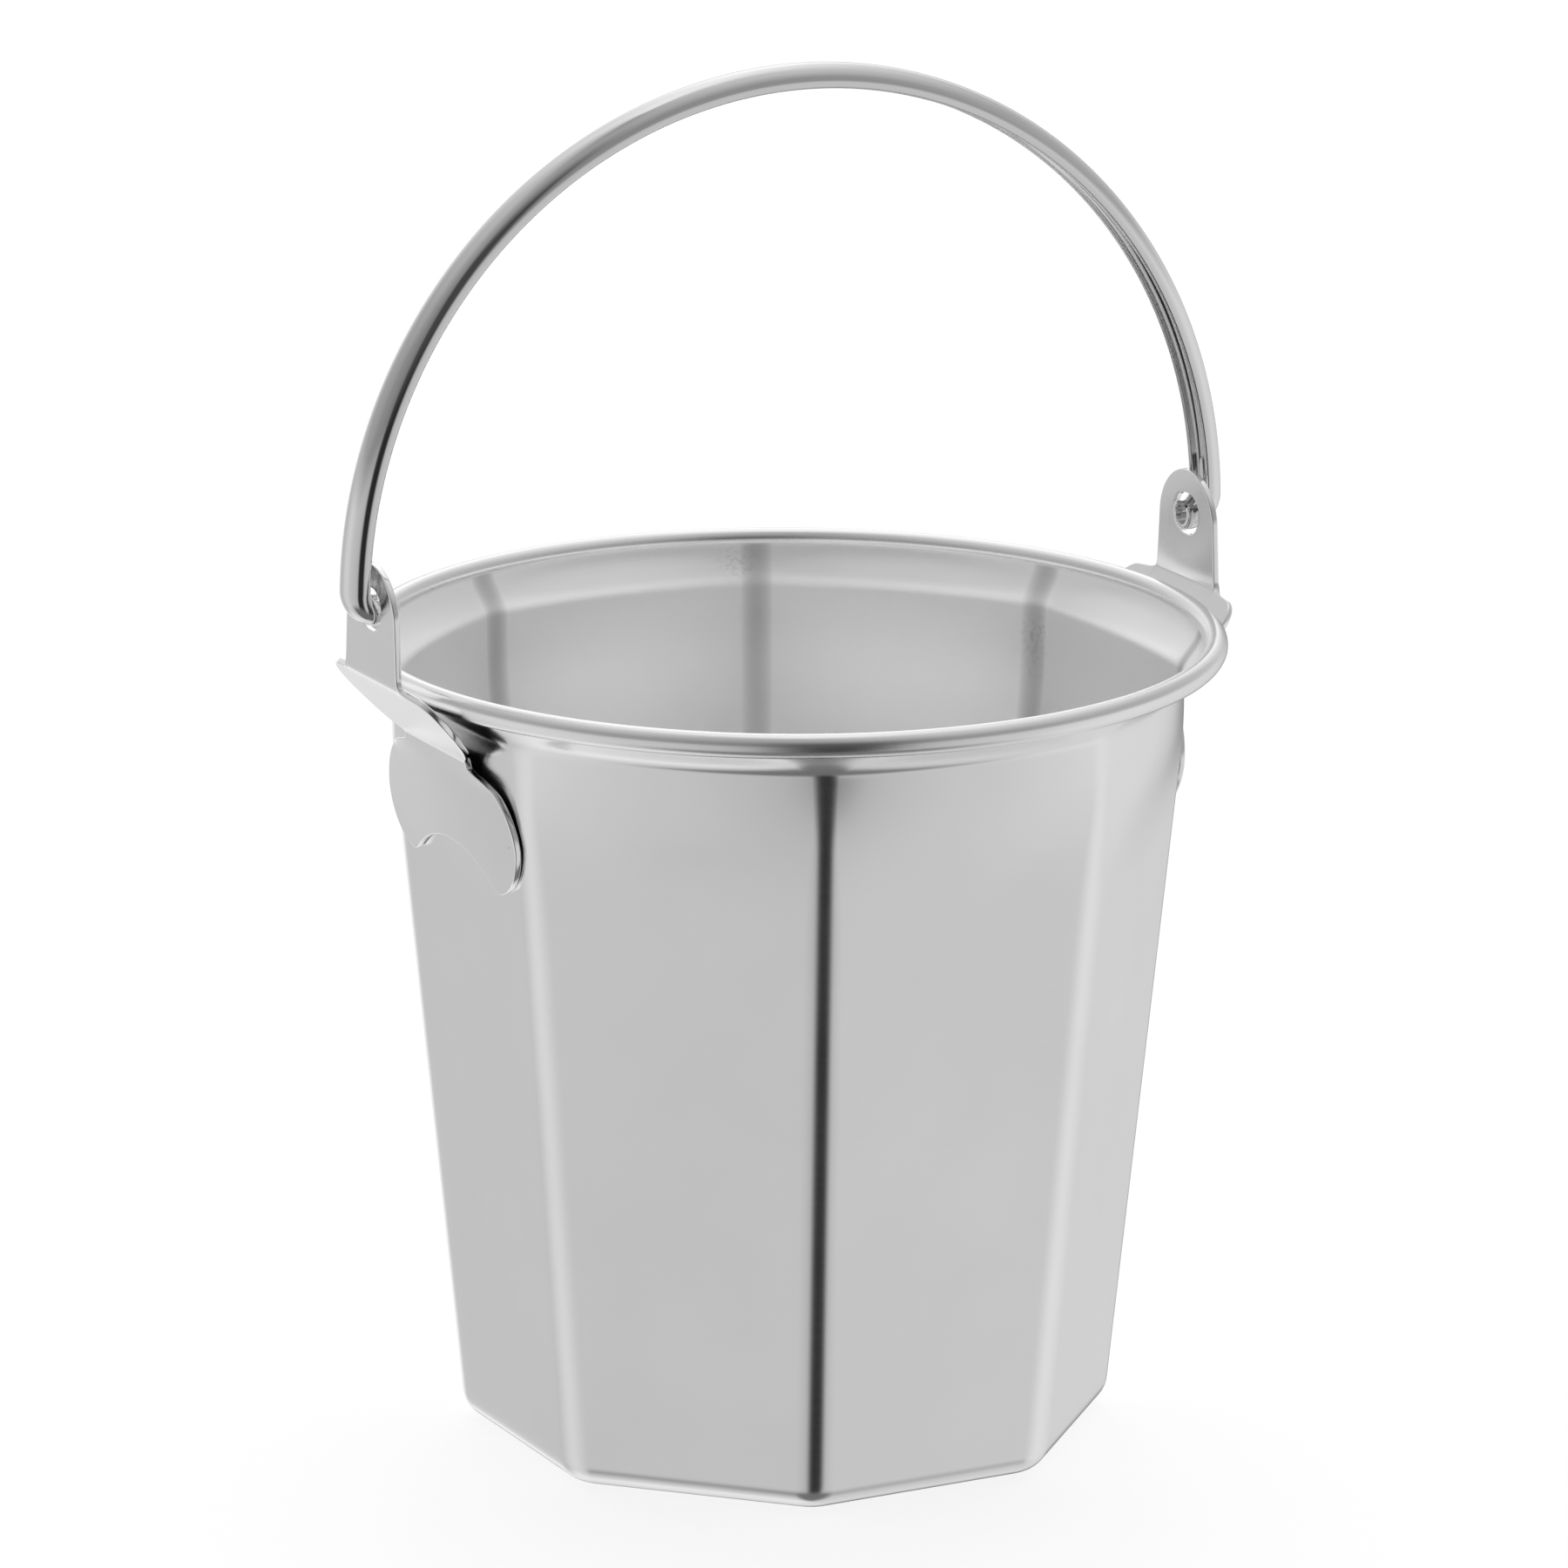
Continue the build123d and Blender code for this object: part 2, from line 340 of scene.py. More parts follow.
# ------------------------------------------------------------------ ears
def ear_profile():
    """Pail side of the bent sheet, as (length along it, x, z, direction), finely stepped."""
    plate_height = 50 * MM
    corners = [
        (LOWER_BEND[0] - PLATE_SLOPE * plate_height, LOWER_BEND[1] - plate_height),
        LOWER_BEND,
        (TAB_FACE_X, UPPER_BEND_HEIGHT),
        (TAB_FACE_X, TAB_TOP + EAR_SHEET),
    ]
    headings = [
        math.atan2(after[1] - before[1], after[0] - before[0])
        for before, after in zip(corners, corners[1:])
    ]
    radii = (INSIDE_BEND_RADIUS + EAR_SHEET, INSIDE_BEND_RADIUS)
    line = [(*corners[0], headings[0])]
    for bend, radius in enumerate(radii):
        turn = headings[bend + 1] - headings[bend]
        setback = radius * math.tan(abs(turn) / 2)
        x = corners[bend + 1][0] - setback * math.cos(headings[bend])
        z = corners[bend + 1][1] - setback * math.sin(headings[bend])
        line.append((x, z, headings[bend]))
        side = math.copysign(1, turn)
        centre_x = x - side * radius * math.sin(headings[bend])
        centre_z = z + side * radius * math.cos(headings[bend])
        for part in spread(0, 1, 17)[1:]:
            heading = headings[bend] + turn * part
            bend_x = centre_x + side * radius * math.sin(heading)
            bend_z = centre_z - side * radius * math.cos(heading)
            line.append((bend_x, bend_z, heading))
    line.append((*corners[3], headings[2]))
    length = [0.0]
    for before, after in zip(line, line[1:]):
        length.append(length[-1] + math.dist(before[:2], after[:2]))
    return np.array([(s, *point) for s, point in zip(length, line)])


PROFILE = ear_profile()


def along_profile(height):
    """Length along the bent sheet at which its middle reaches a height."""
    middle = PROFILE[:, 2] - EAR_SHEET / 2 * np.cos(PROFILE[:, 3])
    return float(np.interp(height, middle, PROFILE[:, 0]))


def wrap_drop(across, height):
    """How far the plate's surface falls back towards the pail, round the swollen facet."""
    part = (height - WRAP_FOOT[0]) / (WRAP_TOP[0] - WRAP_FOOT[0])
    curvature = (1 - part) / WRAP_FOOT[1] + part / WRAP_TOP[1]
    fade = 1 - smooth_step(height, WRAP_TOP[0] - WRAP_FADE, WRAP_FADE)
    return fade * curvature * across * across / 2


def bent(across, along, depth):
    """A point of the flat blank, folded into place; depth runs from the pail side outwards."""
    x = float(np.interp(along, PROFILE[:, 0], PROFILE[:, 1]))
    z = float(np.interp(along, PROFILE[:, 0], PROFILE[:, 2]))
    heading = float(np.interp(along, PROFILE[:, 0], PROFILE[:, 3]))
    height = z - depth * math.cos(heading)
    return (x + depth * math.sin(heading) - wrap_drop(across, height), across, height)


def arc_through(first, middle, last, steps):
    """Points on the circle through three points, without the last."""
    (ax, ay), (bx, by), (cx, cy) = first, middle, last
    d = 2 * (ax * (by - cy) + bx * (cy - ay) + cx * (ay - by))
    a, b, c = ax * ax + ay * ay, bx * bx + by * by, cx * cx + cy * cy
    centre_x = (a * (by - cy) + b * (cy - ay) + c * (ay - by)) / d
    centre_y = (a * (cx - bx) + b * (ax - cx) + c * (bx - ax)) / d
    radius = math.dist(first, (centre_x, centre_y))
    start = math.atan2(ay - centre_y, ax - centre_x)
    via = (math.atan2(by - centre_y, bx - centre_x) - start) % (2 * math.pi)
    sweep = (math.atan2(cy - centre_y, cx - centre_x) - start) % (2 * math.pi)
    if via > sweep:
        sweep -= 2 * math.pi
    return [
        (
            centre_x + radius * math.cos(start + sweep * i / steps),
            centre_y + radius * math.sin(start + sweep * i / steps),
        )
        for i in range(steps)
    ]


def ease_corner(outline, corner, reach):
    """Replaces the points within reach of a corner by a smooth turn."""
    near = [i for i, point in enumerate(outline) if math.dist(point, corner) < reach]
    while near[-1] - near[0] >= len(near):
        outline = outline[1:] + outline[:1]
        near = [i for i, point in enumerate(outline) if math.dist(point, corner) < reach]
    before = Vector(outline[near[0] - 1])
    after = Vector(outline[(near[-1] + 1) % len(outline)])
    tip = Vector(corner)
    turn = [
        tuple(before * (1 - t) ** 2 + tip * 2 * t * (1 - t) + after * t * t)
        for t in spread(0, 1, 9)[1:-1]
    ]
    return outline[: near[0]] + turn + outline[near[-1] + 1 :]


def line_between(first, last, steps):
    return [
        (
            first[0] + (last[0] - first[0]) * i / steps,
            first[1] + (last[1] - first[1]) * i / steps,
        )
        for i in range(steps)
    ]


def ear_outline():
    """Front view of the ear, anticlockwise as (y, z)."""
    tab_shoulder = (TAB_HALF_WIDTH, TAB_TOP - TAB_HALF_WIDTH)
    tab_foot = (17.2 * MM, 240.2 * MM)
    shoulder_end = (25.5 * MM, 239.4 * MM)
    shoulder_middle = (31.0 * MM, 236.8 * MM)
    shelf_widest = (32.8 * MM, 232.6 * MM)
    shelf_side = (29.8 * MM, 225.2 * MM)
    shelf_foot = (20.6 * MM, 218.8 * MM)
    neck_corner = (20.0 * MM, 216.0 * MM)
    lobe_start = (25.0 * MM, 214.6 * MM)
    lobe_shoulder = (37.4 * MM, 207.6 * MM)
    lobe_side = (42.2 * MM, 195.8 * MM)
    lobe_lower = (37.0 * MM, 184.2 * MM)
    arch_end = (27.2 * MM, 179.6 * MM)
    arch_top = (0.0, 190.0 * MM)
    half = arc_through(arch_end, lobe_lower, lobe_side, 36)
    half += arc_through(lobe_side, lobe_shoulder, lobe_start, 44)
    half += line_between(lobe_start, neck_corner, 8)
    half += line_between(neck_corner, shelf_foot, 6)
    half += arc_through(shelf_foot, shelf_side, shelf_widest, 30)
    half += arc_through(shelf_widest, shoulder_middle, shoulder_end, 24)
    half += line_between(shoulder_end, tab_foot, 16)
    half += line_between(tab_foot, tab_shoulder, 36)
    mirrored = [(-y, z) for y, z in reversed(half[1:])]
    top = arc_through(tab_shoulder, (0.0, TAB_TOP), (-TAB_HALF_WIDTH, tab_shoulder[1]), 64)
    arch = arc_through((-arch_end[0], arch_end[1]), arch_top, arch_end, 80)
    outline = half + top + [(-tab_shoulder[0], tab_shoulder[1])] + mirrored + arch
    for side in (-1, 1):
        outline = ease_corner(outline, (side * tab_foot[0], tab_foot[1]), 3.0 * MM)
        outline = ease_corner(outline, (side * neck_corner[0], neck_corner[1]), 1.6 * MM)
        outline = ease_corner(outline, (side * arch_end[0], arch_end[1]), 1.5 * MM)
    return outline


def hole_outline():
    """The oval hinge hole, clockwise as (y, z), so that its outside is the hole."""
    radius = HOLE_HEIGHT / 2
    half_run = HOLE_LENGTH / 2 - radius
    outline = []
    for side in (1, -1):
        for turn in spread(math.pi / 2, -math.pi / 2, 33):
            y = side * (half_run + radius * math.cos(turn))
            outline.append((y, hinge_height + side * radius * math.sin(turn)))
    return outline


def flattened(outline):
    """The outline on the flat blank, as (across, along)."""
    return [Vector((y, along_profile(z))) for y, z in outline]


def drawn_in(loop, inset):
    """A closed loop moved inwards, to the left of its direction, by inset."""
    moved = []
    for i, point in enumerate(loop):
        before = (point - loop[i - 1]).normalized()
        after = (loop[(i + 1) % len(loop)] - point).normalized()
        across = before + after
        inwards = Vector((-across.y, across.x)).normalized()
        stretch = max(0.6, inwards.dot(Vector((-before.y, before.x))))
        moved.append(point + inwards * (inset / stretch))
    return moved


def edge_section():
    """(inset, depth) round the rounded edge, from the pail side's face to the outer face."""
    radius = EAR_EDGE_RADIUS
    section = [(radius + 0.25 * MM, 0.0)]
    for turn in spread(0, math.pi / 2, 6):
        section.append((radius * (1 - math.sin(turn)), radius * (1 - math.cos(turn))))
    return section + [(inset, EAR_SHEET - depth) for inset, depth in reversed(section)]


def blank_points(low, high):
    """Places for extra points on the blank: rows close together at the two bends."""
    bends = PROFILE[1:-1, 0]
    rows = list(bends)
    rows += spread(low, bends[0], 16)[1:-1]
    rows += spread(bends[16], bends[17], 9)[1:-1]
    rows += spread(bends[-1], high, 16)[1:-1]
    return rows


def make_ear(name, side):
    loops = [flattened(ear_outline()), flattened(hole_outline())]
    section = edge_section()
    points, faces = [], []
    for loop in loops:
        start = len(points)
        for inset, depth in section:
            points += [(*place, depth) for place in drawn_in(loop, inset)]
        for row in range(len(section) - 1):
            for column in range(len(loop)):
                beside = (column + 1) % len(loop)
                here = start + row * len(loop)
                above = here + len(loop)
                face = (here + column, above + column, above + beside, here + beside)
                faces.append(face)
    inner = [drawn_in(loop, section[0][0]) for loop in loops]
    flat = [point for loop in inner for point in loop]
    split = len(inner[0])
    edges = [(i, (i + 1) % split) for i in range(split)]
    edges += [(split + i, split + (i + 1) % len(inner[1])) for i in range(len(inner[1]))]
    low = min(point.y for point in inner[0])
    high = max(point.y for point in inner[0])
    width = max(point.x for point in inner[0])
    for row, along in enumerate(sorted(blank_points(low, high))):
        for across in spread(-width, width, 48):
            place = Vector((across + (row % 2) * 0.4 * MM, along))
            if clear_of(place, inner):
                flat.append(place)
    made = delaunay_2d_cdt(flat, edges, [], 0, 1e-7)
    triangles = [face for face in made[2] if inside_sheet(face, made[0], inner)]
    for depth, flip in ((0.0, False), (EAR_SHEET, True)):
        start = len(points)
        points += [(place.x, place.y, depth) for place in made[0]]
        for face in triangles:
            order = list(face) if flip else list(reversed(face))
            faces.append(tuple(start + corner for corner in order))
    folded = [bent(across, along, depth) for across, along, depth in points]
    if side < 0:
        folded = [(-x, -y, z) for x, y, z in folded]
    piece = make_object(name, folded, faces)
    mark_points(piece, "edge", [float(0 < point[2] < EAR_SHEET) for point in points])
    weld(piece)
    return piece


def inside_loop(place, loop):
    """True if the closed loop goes round the place."""
    inside = False
    for before, after in zip(loop, loop[1:] + loop[:1]):
        if (before.y > place.y) != (after.y > place.y):
            crossing = before.x + (place.y - before.y) * (after.x - before.x) / (after.y - before.y)
            inside ^= place.x < crossing
    return inside


def clear_of(place, loops):
    """True if the place is on the sheet, and not so near an edge that triangles get thin."""
    nearest = min((place - point).length for loop in loops for point in loop)
    return nearest > 0.8 * MM and inside_loop(place, loops[0]) and not inside_loop(place, loops[1])


def inside_sheet(face, places, loops):
    middle = sum((places[corner] for corner in face), Vector((0, 0))) / len(face)
    return inside_loop(middle, loops[0]) and not inside_loop(middle, loops[1])


def weld(piece):
    """Joins the points that the faces and the rounded edges share."""
    mesh = bmesh.new()
    mesh.from_mesh(piece.data)
    bmesh.ops.remove_doubles(mesh, verts=mesh.verts, dist=0.01 * MM)
    bmesh.ops.recalc_face_normals(mesh, faces=mesh.faces)
    mesh.to_mesh(piece.data)
    mesh.free()
    piece.data.shade_smooth()


# ------------------------------------------------------------------ bail
LIP_STEPS = 10
LIP_POINTS = LIP_STEPS - 2        # the lip's own points, without the two it shares with the faces


def channel_section(outer_radius, half_angle):
    """Closed section of the bail as (sideways, outwards), with rounded lips."""
    middle = outer_radius - BAIL_SHEET / 2
    lip = half_angle - BAIL_SHEET / 2 / middle
    section = []
    for turn in spread(-lip, lip, 61):
        section.append((outer_radius * math.sin(turn), outer_radius * math.cos(turn)))
    section += channel_lip(middle, lip, 1)
    for turn in spread(lip, -lip, 61):
        inner_radius = outer_radius - BAIL_SHEET
        section.append((inner_radius * math.sin(turn), inner_radius * math.cos(turn)))
    section += channel_lip(middle, lip, -1)[::-1]
    return section


def channel_lip(middle, lip, side):
    """Half round between the channel's outer and inner faces."""
    points = []
    for turn in spread(0, math.pi, LIP_STEPS)[1:-1]:
        radius = middle + BAIL_SHEET / 2 * math.cos(turn)
        angle = side * (lip + BAIL_SHEET / 2 * math.sin(turn) / middle)
        points.append((radius * math.sin(angle), radius * math.cos(angle)))
    return points


def bail_stations():
    """Right half of the bail's line, hook end first: (x, z, outwards angle, radius, half angle)."""
    centre_z = hinge_height + HOOK_BEND_RADIUS
    rise = centre_z - BAIL_CENTRE_HEIGHT
    centre_x = math.sqrt((BAIL_RADIUS - HOOK_BEND_RADIUS) ** 2 - rise**2)
    join = math.atan2(rise, centre_x)
    stations = []
    for x in spread(HOOK_END_X, centre_x, 7)[:-1]:
        stations.append((x, hinge_height, -math.pi / 2, HOOK_END_RADIUS, HOOK_END_HALF_ANGLE))
    for part in spread(0, 1, 33):
        turn = -math.pi / 2 + part * (join + math.pi / 2)
        radius = HOOK_END_RADIUS + part * (CHANNEL_RADIUS - HOOK_END_RADIUS)
        half = HOOK_END_HALF_ANGLE + part * (CHANNEL_HALF_ANGLE - HOOK_END_HALF_ANGLE)
        x = centre_x + HOOK_BEND_RADIUS * math.cos(turn)
        stations.append((x, centre_z + HOOK_BEND_RADIUS * math.sin(turn), turn, radius, half))
    for turn in spread(join, math.pi / 2, 121)[1:]:
        x = BAIL_RADIUS * math.cos(turn)
        z = BAIL_CENTRE_HEIGHT + BAIL_RADIUS * math.sin(turn)
        stations.append((x, z, turn, CHANNEL_RADIUS, CHANNEL_HALF_ANGLE))
    return stations


def make_bail():
    right = bail_stations()
    left = [(-x, z, math.pi - turn, radius, half) for x, z, turn, radius, half in right[:-1]]
    rows = []
    for x, z, turn, radius, half in right + left[::-1]:
        section = channel_section(radius, half)
        rows.append(
            [(x + out * math.cos(turn), side, z + out * math.sin(turn)) for side, out in section]
        )
    columns = len(rows[0])
    points = [point for row in rows for point in row]
    faces = grid_faces(len(rows), columns)
    last_inner = columns - LIP_POINTS - 1
    for start, flip in ((0, False), ((len(rows) - 1) * columns, True)):
        for column in range(columns // 2 - 1):
            across = (last_inner - column - 1) % columns
            beside = (across + 1) % columns
            face = (start + column, start + column + 1, start + across, start + beside)
            faces.append(face if flip else face[::-1])
    return make_object("channel_bail", points, faces)


# ------------------------------------------------------------------ materials
def wire(tree, kind, inputs=None, **properties):
    """A new node with its settings and its inputs, each of them a value or another socket."""
    made = tree.nodes.new(kind)
    for name, value in properties.items():
        setattr(made, name, value)
    for name, value in (inputs or {}).items():
        if isinstance(value, bpy.types.NodeSocket):
            tree.links.new(value, made.inputs[name])
        else:
            made.inputs[name].default_value = value
    return made


def maths(tree, operation, first, second=0.0):
    made = wire(tree, "ShaderNodeMath", {0: first, 1: second}, operation=operation)
    return made.outputs["Value"]


def ranged(tree, value, low, high, to_low=0.0, to_high=1.0):
    """The value stretched from low..high to to_low..to_high, and held there."""
    limits = {"Value": value, "From Min": low, "From Max": high}
    limits.update({"To Min": to_low, "To Max": to_high})
    return wire(tree, "ShaderNodeMapRange", limits).outputs["Result"]


def noise(tree, place, scale, detail=2.0):
    """Noise from 0 to 1 with features of about 1 / scale metres."""
    settings = {"Vector": place, "Scale": scale, "Detail": detail, "Roughness": 0.6}
    return wire(tree, "ShaderNodeTexNoise", settings).outputs["Fac"]


def stretched(tree, place, stretch):
    return wire(tree, "ShaderNodeMapping", {"Vector": place, "Scale": stretch}).outputs["Vector"]


def around(tree, place):
    """Coordinates that run along, round and out from the pail's axis, all in metres."""
    parts = wire(tree, "ShaderNodeSeparateXYZ", {"Vector": place}).outputs
    turn = maths(tree, "ARCTAN2", parts["Y"], parts["X"])
    x_squared = maths(tree, "MULTIPLY", parts["X"], parts["X"])
    y_squared = maths(tree, "MULTIPLY", parts["Y"], parts["Y"])
    squares = maths(tree, "ADD", x_squared, y_squared)
    length = maths(tree, "MULTIPLY", turn, RIM_RADIUS)
    joined = {"X": parts["Z"], "Y": length, "Z": maths(tree, "SQRT", squares)}
    return wire(tree, "ShaderNodeCombineXYZ", joined).outputs["Vector"]


def specks(tree, place, spacing, size, share):
    """Small marks: 1 inside a mark; share is how many cells of the spacing have one."""
    cells = wire(tree, "ShaderNodeTexVoronoi", {"Vector": place, "Scale": 1 / spacing})
    colour = wire(tree, "ShaderNodeSeparateColor", {"Color": cells.outputs["Color"]})
    chosen = maths(tree, "LESS_THAN", colour.outputs["Red"], share)
    ragged = maths(tree, "MULTIPLY", noise(tree, place, 1400.0), size)
    reach = maths(tree, "MULTIPLY", cells.outputs["Distance"], spacing)
    spot = maths(tree, "LESS_THAN", reach, ragged)
    return maths(tree, "MULTIPLY", spot, chosen)


def dark_patch(tree, place, middle, radius, strength):
    """One cloudy darker patch round a given point, broken up by fine noise."""
    offset = wire(tree, "ShaderNodeVectorMath", {0: place, 1: middle}, operation="DISTANCE")
    near = ranged(tree, offset.outputs["Value"], radius, 0.0)
    broken = ranged(tree, noise(tree, place, 700.0, 4.0), 0.5, 0.62)
    return maths(tree, "MULTIPLY", maths(tree, "MULTIPLY", near, broken), strength)


def add_up(tree, *values):
    total = values[0]
    for value in values[1:]:
        total = maths(tree, "ADD", total, value)
    return total


def swing(tree, value, amount):
    """Noise from 0 to 1 turned into a change of about plus or minus half the amount."""
    return maths(tree, "MULTIPLY", maths(tree, "SUBTRACT", value, 0.5), amount)


def steel(name, shade, roughness, height, depth):
    """A bare metal; shade, roughness and height are functions of the tree and the place."""
    material = bpy.data.materials.new(name)
    material.use_nodes = True
    tree = material.node_tree
    shader = tree.nodes["Principled BSDF"]
    shader.inputs["Metallic"].default_value = 1.0
    place = wire(tree, "ShaderNodeTexCoord").outputs["Object"]
    tone = shade(tree, place)
    colour = wire(tree, "ShaderNodeCombineColor", {"Red": tone, "Green": tone, "Blue": tone})
    tree.links.new(colour.outputs["Color"], shader.inputs["Base Color"])
    tree.links.new(roughness(tree, place), shader.inputs["Roughness"])
    bump = wire(tree, "ShaderNodeBump", {"Height": height(tree, place), "Distance": depth})
    tree.links.new(bump.outputs["Normal"], shader.inputs["Normal"])
    return material


def attribute(tree, name):
    return wire(tree, "ShaderNodeAttribute", attribute_name=name).outputs["Fac"]


# Polishing left fine lines round the body: close together up and down, long round it.
BRUSHING = (2600.0, 45.0, 45.0)
BODY_BUMP = 0.004 * MM
# Painted light: the inside of the same sheet is lighter than the outside, for bounced light.
BODY_TONE, INSIDE_PAINTED_LIGHT_TONE = 0.92, 0.985
BODY_ROUGHNESS, INSIDE_ROUGHNESS = 0.20, 0.48
BEAD_ROUGHNESS = 0.07             # added on the rolled rim
BODY_SPECKS = (0.032, 0.0011, 0.3)
# Painted shade: the inside is darkened along each corner.
CORNER_SHADE_DEPTH = 0.32
CORNER_SHADE_SPAN = (-0.94, -0.999)     # from the streak's side to its middle, as a cosine
EAR_GRAIN = (60.0, 1900.0, 60.0)
EAR_BUMP = 0.004 * MM
EAR_TONE, EAR_ROUGHNESS = 0.92, 0.17
EAR_SPECKS = (0.019, 0.0012, 0.35)
DRAW_LINES = (1300.0, 14.0, 1300.0)
BAIL_BUMP = 0.002 * MM
BAIL_TONE, BAIL_ROUGHNESS = 0.82, 0.09
BAIL_SPECKS = (0.022, 0.0008, 0.3)
# Darker cloudy patches on the inside, at the top of a corner and under the far rim.
DARK_PATCHES = [
    (Vector((104.5, 43.0, 216.0)) * MM, 9.0 * MM, 0.16),    # inside, at the top of a corner
    (Vector((103.0, 42.6, 206.0)) * MM, 7.0 * MM, 0.12),
    (Vector((40.0, 113.0, 230.0)) * MM, 8.0 * MM, 0.20),    # inside, under the far rim
]


def body_brushing(tree, place):
    return noise(tree, stretched(tree, around(tree, place), BRUSHING), 1.0)


def painted_corner_shade(tree, place):
    """Painted shade along the corners: 1 towards each corner as seen from above, so the same lines
    also cross the floor.
    """
    parts = wire(tree, "ShaderNodeSeparateXYZ", {"Vector": place}).outputs
    turn = maths(tree, "ARCTAN2", parts["Y"], parts["X"])
    wave = maths(tree, "COSINE", maths(tree, "MULTIPLY", turn, float(SIDES)))
    return ranged(tree, wave, *CORNER_SHADE_SPAN)


def body_shade(tree, place):
    inside = attribute(tree, "inside")
    # painted shade along the inside corners
    corner_shade_mask = maths(tree, "MULTIPLY", inside, painted_corner_shade(tree, place))
    marks = maths(tree, "MULTIPLY", specks(tree, place, *BODY_SPECKS), -0.28)
    tone = add_up(
        tree,
        # painted light: the inside is lighter than the outside
        ranged(tree, inside, 0.0, 1.0, BODY_TONE, INSIDE_PAINTED_LIGHT_TONE),
        swing(tree, body_brushing(tree, place), 0.035),
        swing(tree, noise(tree, place, 16.0), 0.09),
        maths(tree, "MULTIPLY", corner_shade_mask, -CORNER_SHADE_DEPTH),
        marks,
    )
    # darker patches at the listed points
    for middle, radius, strength in DARK_PATCHES:
        tone = maths(tree, "SUBTRACT", tone, dark_patch(tree, place, middle, radius, strength))
    return tone


def body_roughness(tree, place):
    inside = attribute(tree, "inside")
    bead = attribute(tree, "bead")
    return add_up(
        tree,
        ranged(tree, inside, 0.0, 1.0, BODY_ROUGHNESS, INSIDE_ROUGHNESS),
        maths(tree, "MULTIPLY", bead, BEAD_ROUGHNESS),
        swing(tree, body_brushing(tree, place), 0.05),
        swing(tree, noise(tree, place, 22.0, 3.0), 0.08),
        maths(tree, "MULTIPLY", specks(tree, place, *BODY_SPECKS), 0.2),
    )


def body_height(tree, place):
    waves = maths(tree, "MULTIPLY", noise(tree, place, 24.0, 1.0), 8.0)
    return maths(tree, "ADD", waves, body_brushing(tree, place))


def ear_grain(tree, place):
    return noise(tree, stretched(tree, place, EAR_GRAIN), 1.0)


def ear_shade(tree, place):
    edge = maths(tree, "MULTIPLY", attribute(tree, "edge"), 0.05)
    marks = maths(tree, "MULTIPLY", specks(tree, place, *EAR_SPECKS), -0.3)
    clouds = swing(tree, noise(tree, place, 35.0), 0.05)
    grain = swing(tree, ear_grain(tree, place), 0.03)
    return add_up(tree, edge, marks, clouds, grain, EAR_TONE)


def ear_roughness(tree, place):
    edge = maths(tree, "MULTIPLY", attribute(tree, "edge"), -0.06)
    smears = swing(tree, noise(tree, place, 55.0, 3.0), 0.08)
    grain = swing(tree, ear_grain(tree, place), 0.04)
    return add_up(tree, edge, smears, grain, EAR_ROUGHNESS)


def ear_height(tree, place):
    waves = maths(tree, "MULTIPLY", noise(tree, place, 40.0, 1.0), 6.0)
    return maths(tree, "ADD", waves, ear_grain(tree, place))


def draw_lines(tree, place):
    """Faint lines along the bail, left by the rollers that formed it."""
    parts = wire(tree, "ShaderNodeSeparateXYZ", {"Vector": place}).outputs
    rise = maths(tree, "SUBTRACT", parts["Z"], BAIL_CENTRE_HEIGHT)
    flat = wire(tree, "ShaderNodeCombineXYZ", {"X": parts["X"], "Y": rise, "Z": parts["Y"]})
    lines = stretched(tree, around(tree, flat.outputs["Vector"]), DRAW_LINES)
    return noise(tree, lines, 1.0)


def bail_shade(tree, place):
    marks = maths(tree, "MULTIPLY", specks(tree, place, *BAIL_SPECKS), -0.2)
    clouds = swing(tree, noise(tree, place, 30.0), 0.04)
    return add_up(tree, clouds, marks, swing(tree, draw_lines(tree, place), 0.03), BAIL_TONE)


def bail_roughness(tree, place):
    smears = swing(tree, noise(tree, place, 70.0, 3.0), 0.06)
    return add_up(tree, smears, swing(tree, draw_lines(tree, place), 0.04), BAIL_ROUGHNESS)


# ------------------------------------------------------------------ studio
# Light levels by direction round the pail (degrees from the camera), in four layers of height.
LEVEL_LIGHT = [
    (-180, 0.40), (-170, 0.70), (-158, 1.30), (-146, 0.80), (-125, 0.69), (-80, 0.90), (-38, 0.72),
    (-12, 0.64), (2, 0.03), (22, 0.03), (36, 0.68), (55, 0.75), (100, 0.97), (145, 0.88),
    (156, 0.78), (168, 0.28), (180, 0.25),
]
HIGH_LIGHT = [
    (-180, 1.45), (-155, 0.90), (-110, 0.52), (-80, 0.48), (-38, 0.36), (-12, 0.30),
    (2, 0.08), (22, 0.08), (36, 0.34), (55, 0.40), (100, 0.52), (145, 0.65), (160, 0.95),
    (180, 1.45),
]
TOP_LIGHT = [(-180, 1.20), (-90, 0.70), (0, 0.45), (90, 0.75), (180, 1.20)]
LOW_LIGHT = [
    (-180, 0.95), (-125, 1.10), (-70, 0.80), (-35, 0.20), (50, 0.20), (100, 0.80), (180, 0.95),
]
HIGH_SPAN = (0.03, 0.20)         # the layers blend over these spans of the sine of the height
TOP_SPAN = (0.50, 0.88)
LOW_SPAN = (-0.66, -0.82)


def ramp_of(nodes, stops):
    ramp = nodes.new("ShaderNodeValToRGB")
    ramp.color_ramp.interpolation = "EASE"
    elements = ramp.color_ramp.elements
    while len(elements) > 1:
        elements.remove(elements[-1])
    elements[0].position = stops[0][0]
    for i, (place, value) in enumerate(stops):
        element = elements[0] if i == 0 else elements.new(place)
        element.color = (value, value, value, 1)
    return ramp


def around_studio(tree, turn, stops):
    """Light level by direction round the pail, in degrees from the camera."""
    ramp = ramp_of(tree.nodes, [((degrees + 180) / 360, value) for degrees, value in stops])
    tree.links.new(turn, ramp.inputs["Fac"])
    return ramp.outputs["Color"]


